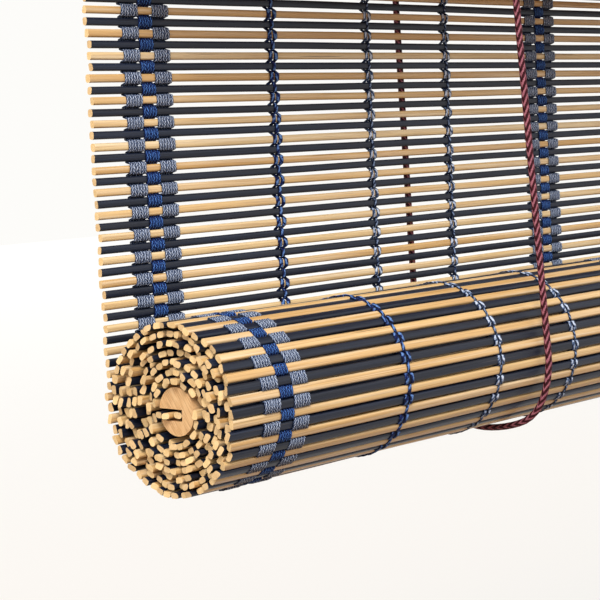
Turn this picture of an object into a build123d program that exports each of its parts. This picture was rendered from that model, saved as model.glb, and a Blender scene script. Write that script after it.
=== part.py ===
from build123d import *
from math import cos, pi, radians, sin, sqrt, tan
import os

# Bamboo roll up blind, 60 cm wide, rolled up most of its way.
# X runs along the blind from left to right, -Y faces the room, Z is up.
# The origin is the middle fixing hole where it meets the top face of the head board.
os.makedirs("parts", exist_ok=True)

blind_width = 600.0

# Head board, screwed up against a lintel
board_depth = 80.0
board_thickness = 18.0
board_edge_round = 2.0
fixing_hole = 4.5
fixing_head = 9.0
fixing_inset = 50.0

# Reed mat: reeds lie along X, one under the other
reed_pitch = 4.45
reed_width = 3.1
reed_thickness = 2.3
end_stagger = 2.0
yarn_thickness = 0.5
band_width = 25.0
band_inset = 30.0
yarn_bite = 0.2
web_thickness = 0.8

# Roll: the mat hangs behind it, turns under it and winds inwards. Its reeds lie closer than in
# the hanging part, which the roll's weight stretches.
drop_to_roll = 183.0
full_turns = 7
rolled_pitch = 4.32
core_radius = 9.5
core_recess = 2.5
slot_height = 4.6
slot_depth = 12.4
slot_drop = 1.4
slot_reeds = 3
slot_entry_inset = 1.3
layer_slack = 0.06
seat_gap = 0.1
core_forward = 2.5
core_drop = 1.5
last_reed_angle = 15.0

# Pulleys: steel brackets under the board with wheels turning on riveted pins
cord_diameter = 3.0
cord_gap = 0.3
wheel_radius = 7.0
wheel_width = 6.0
groove_sink = 0.2
groove_gap = 0.45
wheel_side_gap = 0.3
wheel_bore_gap = 0.08
pin_radius = 1.5
pin_hole_gap = 0.05
pin_head_radius = 2.6
pin_head = 0.9
pin_drop = 13.0
sheet = 1.0
cheek_radius = 6.0
plate_length = 34.0
plate_corner = 2.0
screw_reach = 12.0
screw_radius = 1.4
screw_hole_gap = 0.15
screw_head_radius = 2.8
screw_head = 1.5
screw_length = 11.0
left_cord_x = -108.5
left_cord_y = -23.0
left_cord_end_inset = 27.2
right_cord_x = 105.0
right_cord_y = -29.5
right_cord_end_inset = 93.2

# Staples
staple_count = 10
staple_edge = 52.0
staple_reed = 2
staple_wire = 0.5
staple_band = 1.0
staple_bite = 6.0
cord_staple_side_gap = 0.6
cord_knot_radius = 3.0
cord_knot_length = 6.0
cord_knot_round = 0.9
cord_knot_gap = 0.05

# Put-away cord: a flat coil on each pull cord, bound by a tie, with a turned pull below
coil_layers = 3
coil_rows = 6
coil_inner_radius = 9.0
coil_corner = 1.4
tie_wall = 1.6
tie_gap = 0.05
tie_angle = 34.0
tie_boss_radius = 2.6
tie_boss_height = 4.0
tie_boss_bite = 0.6
tail_rise = 15.0
tail_length = 52.0
pull_radius = 6.5
pull_neck_radius = 2.8
pull_tip_radius = 1.6
pull_waist = 3.5
pull_length = 24.0
pull_bore_gap = 0.1
pull_bore_depth = 6.0

left_cord_end_x = blind_width / 2 - left_cord_end_inset
right_cord_end_x = blind_width / 2 - right_cord_end_inset

# Lift cords, as points: from the knot down behind the mat, under the roll, up in front of it,
# over their own wheel, along under the board, over the end pulley and down to the coil
left_cord_route = [
    (-108.9, 44.6, -7.4),
    (-102.6, 44.6, -211.2),
    (-102.4, 34.3, -228.3),
    (-102.3, 16.9, -238.0),
    (-102.3, -2.9, -237.8),
    (-102.4, -22.3, -231.6),
    (-102.8, -31.0, -212.3),
    (-108.5, -23.0, -24.2),
    (left_cord_end_x, -23.0, -24.2),
    (left_cord_end_x, -23.0, -47.0),
]
right_cord_route = [
    (105.0, 44.6, -7.4),
    (105.6, 44.6, -211.2),
    (105.8, 34.3, -228.3),
    (105.9, 16.9, -238.0),
    (105.9, -2.9, -237.8),
    (105.8, -22.3, -231.6),
    (105.5, -33.0, -212.5),
    (105.0, -29.5, -24.2),
    (right_cord_end_x, -29.5, -24.2),
    (right_cord_end_x, -29.5, -62.0),
]
wheel_corners = (7, 8)

# Places that follow from the sizes above
board_under = -board_thickness
fixing_x = blind_width / 2 - fixing_inset
half_reed = reed_thickness / 2
reed_back = half_reed + yarn_thickness
mat_y = board_depth / 2 + reed_back
layer_pitch = reed_thickness + 2 * yarn_thickness + layer_slack
seat_radius = core_radius + yarn_thickness + half_reed + seat_gap
roll_angle = 2 * pi * full_turns - radians(last_reed_angle)
roll_radius = seat_radius + layer_pitch * roll_angle / (2 * pi)
roll_y = mat_y - roll_radius
roll_z = board_under - drop_to_roll
core_y = roll_y - core_forward
core_z = roll_z - core_drop
slot_z = core_z - slot_drop
hanging_reeds = int((drop_to_roll + board_thickness) / reed_pitch)
band_places = (-blind_width / 2 + band_inset, 0.0, blind_width / 2 - band_inset)
pin_z = board_under - pin_drop
cord_radius = cord_diameter / 2
cord_round_wheel = wheel_radius - groove_sink
groove_radius = cord_radius + groove_gap
golden = (sqrt(5) - 1) / 2


def stagger(index):
    """How far a reed's end stands short of the longest, uneven but the same each time."""
    return end_stagger * ((index * golden) % 1)


def spiral_reed(run):
    """Centre and heading of the reed that lies this far along the winding, from the rear tangent inwards."""
    turn = 2 * pi / layer_pitch * (roll_radius - sqrt(roll_radius**2 - layer_pitch * run / pi))
    radius = roll_radius - layer_pitch * turn / (2 * pi)
    share = turn / roll_angle
    y = roll_y - core_forward * share + radius * cos(turn)
    z = roll_z - core_drop * share - radius * sin(turn)
    return Vector(y, z), Vector(-sin(turn), -cos(turn))


def rolled_stations():
    """Every reed of the roll: round and round to the core, then straight into its slot."""
    whole_run = roll_radius * roll_angle - layer_pitch * roll_angle**2 / (4 * pi)
    steps = round(whole_run / rolled_pitch - 0.5)
    even_pitch = whole_run / (steps + 0.5)
    stations = [spiral_reed((step + 0.5) * even_pitch) for step in range(steps + 1)]
    for reed in range(slot_reeds):
        y = core_y + core_radius - slot_entry_inset - reed * rolled_pitch
        stations.append((Vector(y, slot_z), Vector(-1, 0)))
    return stations


def back_of(heading):
    """The direction that a reed's back face looks in."""
    return Vector(-heading.Y, heading.X)


def ridged_outline(start, stations):
    """Closed outline of a wound mat: a ridge for each reed on both faces, with a thin web between."""
    outline = []
    for side in (1, -1):
        line = [start + Vector(side * web_thickness / 2, 0)]
        corner_before = None
        for centre, heading in stations:
            face = back_of(heading) * side
            first = centre - heading * (reed_width / 2) + face * half_reed
            if corner_before is not None:
                bend = cos(heading.get_angle(heading_before) * pi / 180)
                inwards = (face + face_before).normalized() * ((half_reed - web_thickness / 2) * bend)
                line.append((first + corner_before) / 2 - inwards)
            corner_before = centre + heading * (reed_width / 2) + face * half_reed
            line += [first, corner_before]
            heading_before, face_before = heading, face
        outline += line if side == 1 else line[::-1]
    return [(point.X, point.Y) for point in outline]


def woven_outline(heights, bottom):
    """Closed outline of a warp band: over one reed and under the next, seen from the blind's end."""
    outer = half_reed + yarn_thickness
    inner = half_reed - yarn_bite
    reach = (reed_pitch - reed_width) / 2 + yarn_bite
    front = [(-outer, bottom)]
    back = [(web_thickness / 2, bottom), (web_thickness / 2, bottom + reach), (-inner, bottom + reach)]
    for index, height in enumerate(heights[:-1]):
        gap = height + reed_pitch / 2
        if index % 2 == 0:
            front += [(-outer, gap + reach), (inner, gap + reach)]
            back += [(-inner, gap - reach), (outer, gap - reach)]
        else:
            front += [(inner, gap - reach), (-outer, gap - reach)]
            back += [(outer, gap + reach), (-inner, gap + reach)]
    top = heights[-1] + reed_width / 2 - yarn_bite
    last_front = -outer if len(heights) % 2 else inner
    last_back = -inner if len(heights) % 2 else outer
    outline = front + [(last_front, top), (last_back, top)] + back[::-1]
    return [(mat_y + y, z) for y, z in outline]


# Hanging mat: reeds as ridges, joined by three woven warp bands, with a gap between reeds
hanging_heights = [roll_z + (index + 0.5) * reed_pitch for index in range(hanging_reeds)]
reed_bars = []
for index, height in enumerate(hanging_heights):
    left_end = -blind_width / 2 + stagger(index)
    right_end = blind_width / 2 - stagger(index + hanging_reeds)
    with BuildPart(mode=Mode.PRIVATE) as reed_bar:
        with BuildSketch(Plane.YZ.offset(left_end)):
            with Locations((mat_y, height)):
                Rectangle(reed_thickness, reed_width)
        extrude(amount=right_end - left_end)
    reed_bars.append(reed_bar.part)

with BuildPart() as hanging_mat:
    for band_x in band_places:
        with BuildSketch(Plane.YZ.offset(band_x - band_width / 2)):
            with BuildLine():
                Polyline(*woven_outline(hanging_heights, roll_z), close=True)
            make_face()
        extrude(amount=band_width)
    add(reed_bars)
hanging_mat.part.label = "hanging_mat"

# Rolled mat: seven turns as one ridged wall, its last reeds in the slot of the core
with BuildPart() as rolled_mat:
    with BuildSketch(Plane.YZ.offset(-blind_width / 2)):
        with BuildLine():
            Polyline(*ridged_outline(Vector(mat_y, roll_z), rolled_stations()), close=True)
        make_face()
    extrude(amount=blind_width)
rolled_mat.part.label = "rolled_mat"

# Core rod: a dowel with a slot sawn from its rear side, below and past its middle
with BuildPart() as core_rod:
    with BuildSketch(Plane.YZ.offset(-blind_width / 2 + core_recess)):
        with Locations((core_y, core_z)):
            Circle(core_radius)
        with Locations((core_y + core_radius, slot_z)):
            Rectangle(2 * slot_depth, slot_height, mode=Mode.SUBTRACT)
    extrude(amount=blind_width - 2 * core_recess)
core_rod.part.label = "core_rod"

# Mat staples: each straddles one reed, its legs in the gaps above and below it
staple_y = mat_y + half_reed
leg_end_y = board_depth / 2 - staple_bite
staple_z = hanging_heights[-staple_reed]
staple_spread = blind_width / 2 - staple_edge
with BuildPart() as mat_staples:
    for index in range(staple_count):
        staple_x = -staple_spread + 2 * staple_spread * index / (staple_count - 1)
        with BuildSketch(Plane.YZ.offset(staple_x - staple_band / 2)):
            with Locations((staple_y + staple_wire / 2, staple_z)):
                Rectangle(staple_wire, reed_pitch + staple_wire)
            for side in (-1, 1):
                with Locations(((staple_y + leg_end_y) / 2, staple_z + side * reed_pitch / 2)):
                    Rectangle(staple_y - leg_end_y, staple_wire)
        extrude(amount=staple_band)
mat_staples.part.label = "mat_staples"

# Cord staples: two over the upper end of each lift cord
cord_back_y = staple_y + cord_gap + cord_diameter + cord_gap
cord_staple_span = cord_diameter + 2 * cord_staple_side_gap
with BuildPart() as cord_staples:
    for cord_x in (left_cord_route[0][0], right_cord_route[0][0]):
        for row in (1, 2):
            leg_z = staple_z + reed_pitch / 2 - row * reed_pitch
            with BuildSketch(Plane.XY.offset(leg_z - staple_wire / 2)):
                with Locations((cord_x, cord_back_y + staple_wire / 2)):
                    Rectangle(cord_staple_span + 2 * staple_wire, staple_wire)
                for side in (-1, 1):
                    leg_x = cord_x + side * (cord_staple_span + staple_wire) / 2
                    with Locations((leg_x, (cord_back_y + leg_end_y) / 2)):
                        Rectangle(staple_wire, cord_back_y - leg_end_y)
            extrude(amount=staple_wire)
cord_staples.part.label = "cord_staples"

# Pulley screws: two through the plate of each bracket, up into the board
pulleys = {
    "left": (left_cord_x + cord_round_wheel, left_cord_y),
    "right": (right_cord_x + cord_round_wheel, right_cord_y),
    "left_cord_end": (left_cord_end_x - cord_round_wheel, left_cord_y),
    "right_cord_end": (right_cord_end_x - cord_round_wheel, right_cord_y),
}
with BuildPart() as pulley_screws:
    for wheel_x, wheel_y in pulleys.values():
        for side in (-1, 1):
            screw_at = (wheel_x + side * screw_reach, wheel_y)
            with BuildSketch(Plane.XY.offset(board_under - sheet - screw_head)):
                with Locations(screw_at):
                    Circle(screw_head_radius)
            extrude(amount=screw_head)
            with BuildSketch(Plane.XY.offset(board_under - sheet)):
                with Locations(screw_at):
                    Circle(screw_radius)
            extrude(amount=screw_length)
pulley_screws.part.label = "pulley_screws"

# Head board with its fixing holes, and with the holes that screws and staples make in it
with BuildPart() as head_board:
    with BuildSketch(Plane.XY.offset(board_under)):
        Rectangle(blind_width, board_depth)
    extrude(amount=board_thickness)
    fillet(head_board.edges().filter_by(Axis.X).group_by(Axis.Z)[0].sort_by(Axis.Y)[0], board_edge_round)
    with Locations(Plane.XY.offset(board_under).rotated((180, 0, 0))):
        with Locations((-fixing_x, 0), (0, 0), (fixing_x, 0)):
            CounterSinkHole(fixing_hole / 2, fixing_head / 2)
    add([pulley_screws.part, mat_staples.part, cord_staples.part], mode=Mode.SUBTRACT)
head_board.part.label = "head_board"


def make_bracket(wheel_x, wheel_y):
    """A steel U: a plate under the board and a cheek on each side of the wheel."""
    half_inside = wheel_width / 2 + wheel_side_gap
    with BuildPart() as bracket:
        with BuildSketch(Plane.XY.offset(board_under - sheet)):
            with Locations((wheel_x, wheel_y)):
                RectangleRounded(plate_length, 2 * (half_inside + sheet), plate_corner)
            with Locations((wheel_x - screw_reach, wheel_y), (wheel_x + screw_reach, wheel_y)):
                Circle(screw_radius + screw_hole_gap, mode=Mode.SUBTRACT)
        extrude(amount=sheet)
        for cheek_y in (wheel_y - half_inside - sheet, wheel_y + half_inside):
            with BuildSketch(Plane.XZ.offset(-cheek_y)):
                with Locations((wheel_x, pin_z)):
                    Circle(cheek_radius)
                with Locations((wheel_x, (pin_z + board_under - sheet) / 2)):
                    Rectangle(2 * cheek_radius, pin_drop - sheet)
                with Locations((wheel_x, pin_z)):
                    Circle(pin_radius + pin_hole_gap, mode=Mode.SUBTRACT)
            extrude(amount=-sheet)
    return bracket.part


def make_pin(wheel_x, wheel_y):
    """A riveted pin with a head on the outside of each cheek."""
    half_grip = wheel_width / 2 + wheel_side_gap + sheet
    with BuildPart() as pin:
        for start, length, radius in (
            (wheel_y - half_grip - pin_head, pin_head, pin_head_radius),
            (wheel_y - half_grip, 2 * half_grip, pin_radius),
            (wheel_y + half_grip, pin_head, pin_head_radius),
        ):
            with BuildSketch(Plane.XZ.offset(-start)):
                with Locations((wheel_x, pin_z)):
                    Circle(radius)
            extrude(amount=-length)
    return pin.part


def make_wheel(wheel_x, wheel_y):
    """A grooved wheel, turned about the pin's axis."""
    bore = pin_radius + wheel_bore_gap
    half = wheel_width / 2
    lip = groove_radius + groove_sink
    with BuildPart() as wheel:
        with BuildSketch(Plane(origin=(wheel_x, wheel_y, pin_z), x_dir=(0, 1, 0), z_dir=(1, 0, 0))):
            with BuildLine():
                ThreePointArc(
                    (-groove_radius, cord_round_wheel),
                    (0, cord_round_wheel - groove_radius),
                    (groove_radius, cord_round_wheel),
                )
                Polyline(
                    (groove_radius, cord_round_wheel),
                    (lip, wheel_radius),
                    (half, wheel_radius),
                    (half, bore),
                    (-half, bore),
                    (-half, wheel_radius),
                    (-lip, wheel_radius),
                    (-groove_radius, cord_round_wheel),
                )
            make_face()
        revolve(axis=Axis((wheel_x, wheel_y, pin_z), (0, 1, 0)))
    return wheel.part


pulley_parts = {}
for name, (wheel_x, wheel_y) in pulleys.items():
    pulley_parts[f"{name}_pulley_bracket"] = make_bracket(wheel_x, wheel_y)
    pulley_parts[f"{name}_pulley_pin"] = make_pin(wheel_x, wheel_y)
    pulley_parts[f"{name}_pulley_wheel"] = make_wheel(wheel_x, wheel_y)


def corner_radii(route):
    """The wheel's own radius where a cord goes round one, and elsewhere as large as the two runs allow."""
    points = [Vector(*point) for point in route]
    radii = []
    for index in range(1, len(points) - 1):
        before = points[index] - points[index - 1]
        after = points[index + 1] - points[index]
        half_turn = radians(before.get_angle(after)) / 2
        open_radius = 0.45 * min(before.length, after.length) / tan(half_turn)
        radii.append(cord_round_wheel if index in wheel_corners else open_radius)
    return radii


def make_cord(route):
    """A round cord along straight runs and tangent arcs."""
    radii = corner_radii(route)
    with BuildPart() as cord:
        with BuildLine():
            path = FilletPolyline(*route, radius=radii)
        with BuildSketch(Plane(origin=path @ 0, z_dir=path % 0)):
            Circle(cord_radius)
        sweep()
    print("cord", round(path.length, 1), "mm, radii", [round(radius, 1) for radius in radii])
    return cord.part


def make_knot(top):
    """The stopper knot above the staples, plain here."""
    knot_y = mat_y + half_reed + cord_knot_gap + cord_knot_radius
    with BuildPart() as knot:
        with BuildSketch(Plane.XY.offset(top[2] + cord_knot_gap)):
            with Locations((top[0], knot_y)):
                Circle(cord_knot_radius)
        extrude(amount=cord_knot_length)
        chamfer(knot.edges().filter_by(GeomType.CIRCLE), cord_knot_round)
    return knot.part


coil_width = coil_layers * cord_diameter
coil_depth = coil_rows * cord_diameter
coil_outer_radius = coil_inner_radius + coil_depth
coil_middle = coil_inner_radius + coil_depth / 2


def coil_centre(end):
    """The middle of the coil that hangs from this end of a cord."""
    return Vector(end[0], end[1], end[2] - coil_outer_radius - tie_wall - tie_boss_height)


def coil_section_plane(centre, turn):
    """A plane through the coil's axis, with the coil's width across it and its radius up it."""
    outwards = Vector(sin(turn), 0, cos(turn))
    return Plane(origin=centre, x_dir=(0, 1, 0), z_dir=Vector(0, 1, 0).cross(outwards))


def make_coil(end):
    """The put-away cord as one ring, as wide and deep as its turns."""
    centre = coil_centre(end)
    with BuildPart() as coil:
        with BuildSketch(coil_section_plane(centre, 0)):
            with Locations((0, coil_middle)):
                coil_section = Rectangle(coil_width, coil_depth)
            chamfer(coil_section.vertices(), coil_corner)
        revolve(axis=Axis(centre, (0, 1, 0)))
    return coil.part


def make_tie(end):
    """The wrap that binds the top of a coil, with bosses where the cord comes in and goes out."""
    centre = coil_centre(end)
    skin = tie_wall + tie_gap
    boss_y = centre.Y - coil_width / 2 - tie_gap - tie_boss_radius
    with BuildPart() as tie:
        with BuildSketch(coil_section_plane(centre, -radians(tie_angle) / 2)):
            with Locations((0, coil_middle)):
                tie_section = Rectangle(coil_width + 2 * skin, coil_depth + 2 * skin)
            chamfer(tie_section.vertices(), coil_corner + tie_wall / 2)
            with BuildSketch(mode=Mode.SUBTRACT):
                with Locations((0, coil_middle)):
                    hollow = Rectangle(coil_width + 2 * tie_gap, coil_depth + 2 * tie_gap)
                chamfer(hollow.vertices(), coil_corner)
        revolve(axis=Axis(centre, (0, 1, 0)), revolution_arc=tie_angle)
        with BuildSketch(Plane.XY.offset(end[2])):
            with Locations((end[0], end[1])):
                Circle(tie_boss_radius)
        extrude(amount=-(tie_boss_height + tie_boss_bite))
        with BuildSketch(Plane.XY.offset(centre.Z + tail_rise)):
            with Locations((centre.X, boss_y)):
                Rectangle(2 * tie_boss_radius, 2 * tie_boss_radius)
        extrude(amount=coil_middle - tail_rise + coil_depth / 4)
    return tie.part


def tail_place(end):
    """Top of the cord's tail, which hangs in front of its coil."""
    centre = coil_centre(end)
    tie_front = centre.Y - coil_width / 2 - tie_gap - tie_wall
    return Vector(centre.X, tie_front - cord_gap - cord_radius, centre.Z + tail_rise)


def make_tail(end):
    """The last of the cord, from the tie down into its pull."""
    top = tail_place(end)
    with BuildPart() as tail:
        with BuildSketch(Plane.XY.offset(top.Z)):
            with Locations((top.X, top.Y)):
                Circle(cord_radius)
        extrude(amount=-tail_length)
    return tail.part


def make_pull(end):
    """A turned wooden acorn on the cord's end."""
    tail = tail_place(end)
    top = tail.Z - tail_length + pull_bore_depth
    bore = cord_radius + pull_bore_gap
    with BuildPart() as pull:
        with BuildSketch(Plane(origin=(tail.X, tail.Y, top), x_dir=(1, 0, 0), z_dir=(0, -1, 0))):
            with BuildLine():
                Polyline(
                    (pull_tip_radius, -pull_length),
                    (0, -pull_length),
                    (0, -pull_bore_depth),
                    (bore, -pull_bore_depth),
                    (bore, 0),
                    (pull_neck_radius, 0),
                    (pull_neck_radius, -pull_waist),
                )
                ThreePointArc(
                    (pull_neck_radius, -pull_waist),
                    (pull_radius, -(pull_waist + pull_length) / 2),
                    (pull_tip_radius, -pull_length),
                )
            make_face()
        revolve(axis=Axis((tail.X, tail.Y, top), (0, 0, 1)))
    return pull.part


cord_parts = {}
for side, route in (("left", left_cord_route), ("right", right_cord_route)):
    end = route[-1]
    cord_parts[f"{side}_lift_cord"] = make_cord(route)
    cord_parts[f"{side}_cord_knot"] = make_knot(route[0])
    cord_parts[f"{side}_cord_coil"] = make_coil(end)
    cord_parts[f"{side}_coil_tie"] = make_tie(end)
    cord_parts[f"{side}_cord_tail"] = make_tail(end)
    cord_parts[f"{side}_cord_pull"] = make_pull(end)

for made in (hanging_mat, rolled_mat, core_rod, mat_staples, cord_staples, pulley_screws, head_board):
    export_step(made.part, f"parts/{made.part.label}.step")
for name, part in {**pulley_parts, **cord_parts}.items():
    part.label = name
    export_step(part, f"parts/{name}.step")
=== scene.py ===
import math
import random

import bpy
from mathutils import Matrix, Vector


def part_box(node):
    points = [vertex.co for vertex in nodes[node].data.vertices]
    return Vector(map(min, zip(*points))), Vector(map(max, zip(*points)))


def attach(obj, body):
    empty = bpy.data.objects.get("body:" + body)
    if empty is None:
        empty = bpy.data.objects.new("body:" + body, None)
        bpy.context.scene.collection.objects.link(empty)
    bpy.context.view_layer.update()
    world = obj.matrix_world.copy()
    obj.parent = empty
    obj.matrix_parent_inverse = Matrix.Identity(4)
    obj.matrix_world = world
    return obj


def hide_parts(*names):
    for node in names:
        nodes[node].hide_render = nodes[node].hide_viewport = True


# A bamboo roll up blind, rolled up most of its way: reeds, woven yarns, cords and fittings.
# Lengths are in metres. X runs along the blind, -Y faces the room, Z is up.
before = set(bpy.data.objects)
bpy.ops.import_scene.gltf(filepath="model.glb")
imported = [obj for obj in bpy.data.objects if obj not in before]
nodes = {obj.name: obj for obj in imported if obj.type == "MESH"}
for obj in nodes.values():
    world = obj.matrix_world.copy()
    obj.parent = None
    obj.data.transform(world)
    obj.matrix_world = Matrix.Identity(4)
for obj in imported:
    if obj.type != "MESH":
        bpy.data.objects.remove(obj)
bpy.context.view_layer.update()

# The mat: staggers say how unevenly the reeds' ends stick out, and slants how far a saw cut leans
reed_pitch = 0.00445
rolled_pitch = 0.00432
reed_width = 0.00315
rolled_reed_width = 0.00368
reed_thickness = 0.0023
reed_corner = 0.0009
yarn_room = 0.0005
layer_slack = 0.00006
layer_pitch = reed_thickness + 2 * yarn_room + layer_slack
hanging_stagger = 0.0018
outer_stagger = 0.0030
inner_stagger = 0.0050
stagger_power = 1.5
reed_bow = 0.0012
reed_tilt = math.radians(3)
hanging_slant = 0.0012
rolled_slant = 0.0028
size_spread = 0.045
tone_spread = 0.17
seed_range = 40
corner_steps = 3
hanging_pieces = 25
outer_pieces = 17
inner_pieces = 2
end_facing = 0.7

# The roll, which drifts forward and down as it winds inwards
full_turns = 7
last_reed_angle = math.radians(15)
core_radius = 0.0095
slot_drop = 0.0014
slot_entry_inset = 0.0013
slot_reeds = 3
core_forward = 0.0025
core_drop = 0.0015

# The woven yarns: from its shoulders on, either side of a reed's middle, a yarn comes down
yarn_width = 0.00160
yarn_spacing = 0.00149
blue_line_width = 0.0026
grey_line_width = 0.0023
blue_middle_width = 0.0021
grey_middle_width = 0.0018
yarn_height = 0.00085
yarn_lift = 0.00140
edge_shoulder = 0.0019
middle_shoulder = 0.0013
line_shoulder = 0.0015
yarn_shoulder_lift = 0.86
yarn_wander = (0.0011, 0.0, 0.0003)
yarn_sides = 6
rolled_extra_reach = 0.0003
band_inset = 0.0305
edge_strands = 6
middle_strands = 5
blue_spread = 0.00165
grey_spread = 0.00145
blue_line_inset = 0.1035
grey_line_insets = (0.1662, 0.2230)
woven_turn_reeds = 54

# The cords, with a coil, a knot, a tie and two whippings each
cord_diameter = 0.003
coil_rows = 6
coil_inner_row = 0.0105
coil_entry_turn = 0.14
points_a_turn = 14
cord_sides = 10
knot_cord = 0.0026
knot_turns = 1.7
knot_tail = (0.0006, 0.0, 0.0004)
helix_points = 12
tie_cord = 0.0015
tie_sides = 8
tie_turns = 8
tie_half_angle = math.radians(14)
tie_corner = 0.0012
whipping_room = 0.0011
whipping_turns = 4
whipping_reach = 0.0044
tail_whipping_below = 0.001
tail_whipping_above = 0.0036

# Screws under the board
bracket_sheet = 0.001
screw_reach = 0.012
screw_head_radius = 0.0028
screw_head_height = 0.0015
screw_shank_radius = 0.0014
screw_length = 0.010
screw_turn_range = 1.5
recess_length = 0.0032
recess_width = 0.0007
recess_depth = 0.0016
cutter_side = 0.02

# The stage
floor_z = -0.5
floor_reach = 6
daylight_strength = 0.50

hanging_low, hanging_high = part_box("hanging_mat")
roll_low, roll_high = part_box("rolled_mat")
core_low, core_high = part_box("core_rod")
board_low, board_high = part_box("head_board")
left_end, right_end = roll_low.x, roll_high.x
mat_y = (hanging_low.y + hanging_high.y) / 2
roll_z = hanging_low.z
core_y = core_low.y + core_radius
core_z = (core_low.z + core_high.z) / 2
roll_y = core_y + core_forward
slot_z = core_z - slot_drop
roll_radius = mat_y - roll_y
roll_angle = 2 * math.pi * full_turns - last_reed_angle
hanging_reeds = int((board_high.z - roll_z) / reed_pitch)
chance = random.Random(11)


def new_object(name, data):
    """A new object at the origin."""
    piece = bpy.data.objects.new(name, data)
    bpy.context.scene.collection.objects.link(piece)
    return piece


# Camera, fitted to the photograph
photo_side = 600
focal_pixels = 1798.76
optical_centre_x = 296.5
camera_place = (-0.7596, -0.4947, -0.1026)
camera = new_object("camera", bpy.data.cameras.new("camera"))
camera.data.sensor_width = 36.0
camera.data.lens = camera.data.sensor_width * focal_pixels / photo_side
camera.data.shift_x = (photo_side / 2 - optical_centre_x) / photo_side
camera.data.clip_start = 0.01
camera.data.clip_end = 30.0
look_right = Vector((0.68027, -0.73067, -0.04921))
look_down = Vector((-0.09754, -0.02360, -0.99478))
look_ahead = Vector((0.72590, 0.68156, -0.08721))
look = Matrix((look_right, -look_down, -look_ahead)).transposed().to_4x4()
camera.matrix_world = Matrix.Translation(camera_place) @ look
bpy.context.scene.camera = camera


# Node trees
def put(tree, kind, settings=None, inputs=None):
    """Adds a node, sets its properties, and fills its sockets from values or from other sockets."""
    node = tree.nodes.new(kind)
    for name, value in (settings or {}).items():
        setattr(node, name, value)
    for name, source in (inputs or {}).items():
        if isinstance(source, bpy.types.NodeSocket):
            tree.links.new(source, node.inputs[name])
        else:
            node.inputs[name].default_value = source
    return node


def compute(tree, operation, first, second=0.0):
    """One operation on two numbers in a tree."""
    return put(tree, "ShaderNodeMath", {"operation": operation}, {0: first, 1: second}).outputs[0]


def compute_vector(tree, operation, first, second):
    """One operation on two vectors in a tree."""
    return put(tree, "ShaderNodeVectorMath", {"operation": operation}, {0: first, 1: second}).outputs[0]


def combine(tree, x=0.0, y=0.0, z=0.0):
    """A vector from its three parts."""
    return put(tree, "ShaderNodeCombineXYZ", inputs={0: x, 1: y, 2: z}).outputs[0]


def separate(tree, vector):
    """The three parts of a vector."""
    return put(tree, "ShaderNodeSeparateXYZ", inputs={0: vector}).outputs


def noise(tree, place, scale, detail, seed=None):
    """Noise over places, and over a seed where there is one, as its outputs Fac and Color."""
    inputs = {"Vector": place, "Scale": scale, "Detail": detail}
    if seed is None:
        return put(tree, "ShaderNodeTexNoise", inputs=inputs).outputs
    return put(tree, "ShaderNodeTexNoise", {"noise_dimensions": "4D"}, inputs | {"W": seed}).outputs


def mapped(tree, value, low=0.0, high=1.0, to_low=0.0, to_high=1.0):
    """A number carried from one range to another."""
    ends = {"From Min": low, "From Max": high, "To Min": to_low, "To Max": to_high}
    return put(tree, "ShaderNodeMapRange", inputs={"Value": value} | ends).outputs[0]


def at_an_end(tree, normal):
    """Whether a face looks along the blind, as the sawn ends do."""
    along = compute(tree, "ABSOLUTE", separate(tree, normal)[0])
    return compute(tree, "GREATER_THAN", along, end_facing)


def new_tree(name, inputs):
    """A Geometry Nodes tree with named inputs after its geometry."""
    tree = bpy.data.node_groups.new(name, "GeometryNodeTree")
    tree.interface.new_socket("Geometry", in_out="INPUT", socket_type="NodeSocketGeometry")
    tree.interface.new_socket("Geometry", in_out="OUTPUT", socket_type="NodeSocketGeometry")
    for label, kind in inputs.items():
        tree.interface.new_socket(label, in_out="INPUT", socket_type="NodeSocket" + kind)
    return tree, tree.nodes.new("NodeGroupInput").outputs


def finish_tree(tree, geometry):
    """Ends a tree with this geometry."""
    put(tree, "NodeGroupOutput", inputs={"Geometry": geometry})
    return tree


def shaped(tree, kind, geometry, inputs=None, settings=None):
    """One Geometry Nodes step on a geometry, which is such a node's first input."""
    return put(tree, "GeometryNode" + kind, settings, {0: geometry} | (inputs or {})).outputs[0]


def position(tree):
    """Where each point is, in Geometry Nodes."""
    return put(tree, "GeometryNodeInputPosition").outputs[0]


def named(tree, label, kind="FLOAT"):
    """A named attribute as a socket."""
    node = put(tree, "GeometryNodeInputNamedAttribute", {"data_type": kind}, {"Name": label})
    return node.outputs["Attribute"]


def stored(tree, geometry, label, value, kind="FLOAT"):
    """Keeps a value on each point under a name."""
    settings = {"data_type": kind, "domain": "POINT"}
    return shaped(tree, "StoreNamedAttribute", geometry, {"Name": label, "Value": value}, settings)


def measured(tree, curve):
    """Keeps on each point of a curve how far along it lies."""
    return stored(tree, curve, "along", put(tree, "GeometryNodeSplineParameter").outputs["Length"])


def ring_section(tree, sides, radius):
    """A round section that keeps where round the strand each of its points lies."""
    circle = put(tree, "GeometryNodeCurvePrimitiveCircle", inputs={"Resolution": sides, "Radius": radius})
    return stored(tree, circle.outputs[0], "ring", position(tree), "FLOAT_VECTOR")


def grow(name, tree, start, values):
    """Runs a tree on a start mesh and keeps the result as a plain mesh."""
    piece = new_object(name, start)
    modifier = piece.modifiers.new(tree.name, "NODES")
    modifier.node_group = tree
    for item in tree.interface.items_tree:
        if item.in_out == "INPUT" and item.name in values:
            modifier[item.identifier] = values[item.name]
    graph = bpy.context.evaluated_depsgraph_get()
    grown = bpy.data.meshes.new_from_object(
        piece.evaluated_get(graph), preserve_all_data_layers=True, depsgraph=graph
    )
    piece.modifiers.remove(modifier)
    piece.data = grown
    return piece


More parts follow.
